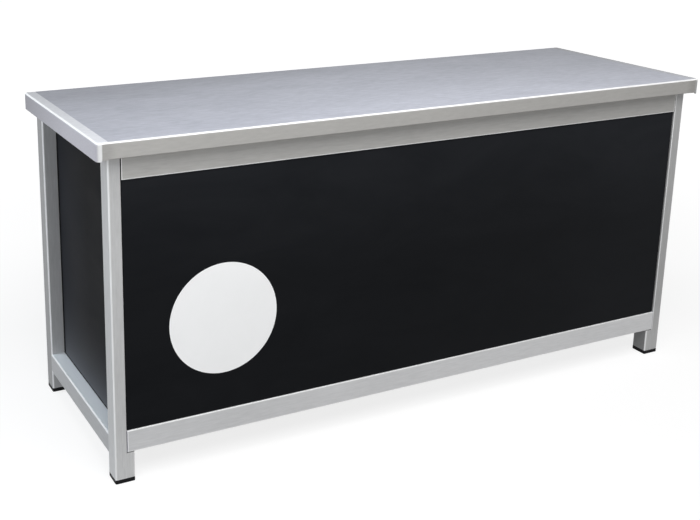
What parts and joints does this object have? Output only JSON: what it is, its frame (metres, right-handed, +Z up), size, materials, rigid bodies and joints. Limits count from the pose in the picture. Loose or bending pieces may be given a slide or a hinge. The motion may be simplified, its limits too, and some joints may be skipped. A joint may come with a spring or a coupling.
{
  "type": "folding buffet table",
  "caption": "Long buffet counter table with a brushed metal top, aluminium post frame, black front and end panels, fold-in end frames and a lift-off top.",
  "frame": {"origin": "on the floor under the middle of the table top", "axes": "+X along the counter, -Y towards the guests' side with the black front, +Z up"},
  "size_m": [1.8, 0.6, 0.85],
  "materials": {
    "frame_aluminium": "fine brushed, clear anodised",
    "end_band": "cross brushed, clear anodised",
    "brushed_top": "long-grain brushed, satin",
    "black_panel": "satin black laminate",
    "black_plastic": "moulded, fine grain",
    "hinge_steel": "zinc plated",
    "birch_board": "birch plywood, clear sealed"
  },
  "bodies": {
    "front_frame": {"front_upper_rail": "frame_aluminium", "front_lower_rail": "frame_aluminium", "front_panel": "black_panel", "front_rail_end_caps": "black_plastic", "front_left_stile": "frame_aluminium", "front_right_stile": "frame_aluminium", "left_frame_leaves": "hinge_steel", "right_frame_leaves": "hinge_steel", "left_frame_leaf_screws": "hinge_steel", "right_frame_leaf_screws": "hinge_steel", "left_hinge_pins": "hinge_steel", "right_hinge_pins": "hinge_steel"},
    "left_side": {"left_front_post": "frame_aluminium", "left_rear_post": "frame_aluminium", "left_lower_rail": "frame_aluminium", "left_upper_rail": "frame_aluminium", "left_side_panel": "black_panel", "left_front_foot": "black_plastic", "left_rear_foot": "black_plastic", "left_post_caps": "black_plastic", "left_post_leaves": "hinge_steel", "left_post_leaf_screws": "hinge_steel"},
    "right_side": {"right_front_post": "frame_aluminium", "right_rear_post": "frame_aluminium", "right_lower_rail": "frame_aluminium", "right_upper_rail": "frame_aluminium", "right_side_panel": "black_panel", "right_front_foot": "black_plastic", "right_rear_foot": "black_plastic", "right_post_caps": "black_plastic", "right_post_leaves": "hinge_steel", "right_post_leaf_screws": "hinge_steel"},
    "table_top": {"top_skin": "brushed_top", "top_board": "birch_board", "top_front_batten": "birch_board", "top_rear_batten": "birch_board", "top_left_batten": "birch_board", "top_right_batten": "birch_board", "top_left_end_cap": "end_band", "top_right_end_cap": "end_band", "top_locating_pegs": "hinge_steel", "top_batten_screws": "hinge_steel"}
  },
  "joints": [
    {"name": "left_fold", "type": "hinge", "parent": "front_frame", "child": "left_side", "pos_m": [-0.815, -0.254, 0.4445], "axis": [0, 0, -1], "range_deg": [0, 90]},
    {"name": "right_fold", "type": "hinge", "parent": "front_frame", "child": "right_side", "pos_m": [0.815, -0.254, 0.4445], "axis": [0, 0, 1], "range_deg": [0, 90]},
    {"name": "top_lift", "type": "slide", "parent": "front_frame", "child": "table_top", "axis": [0, 0, 1], "range_m": [0, 0.3]}
  ]
}
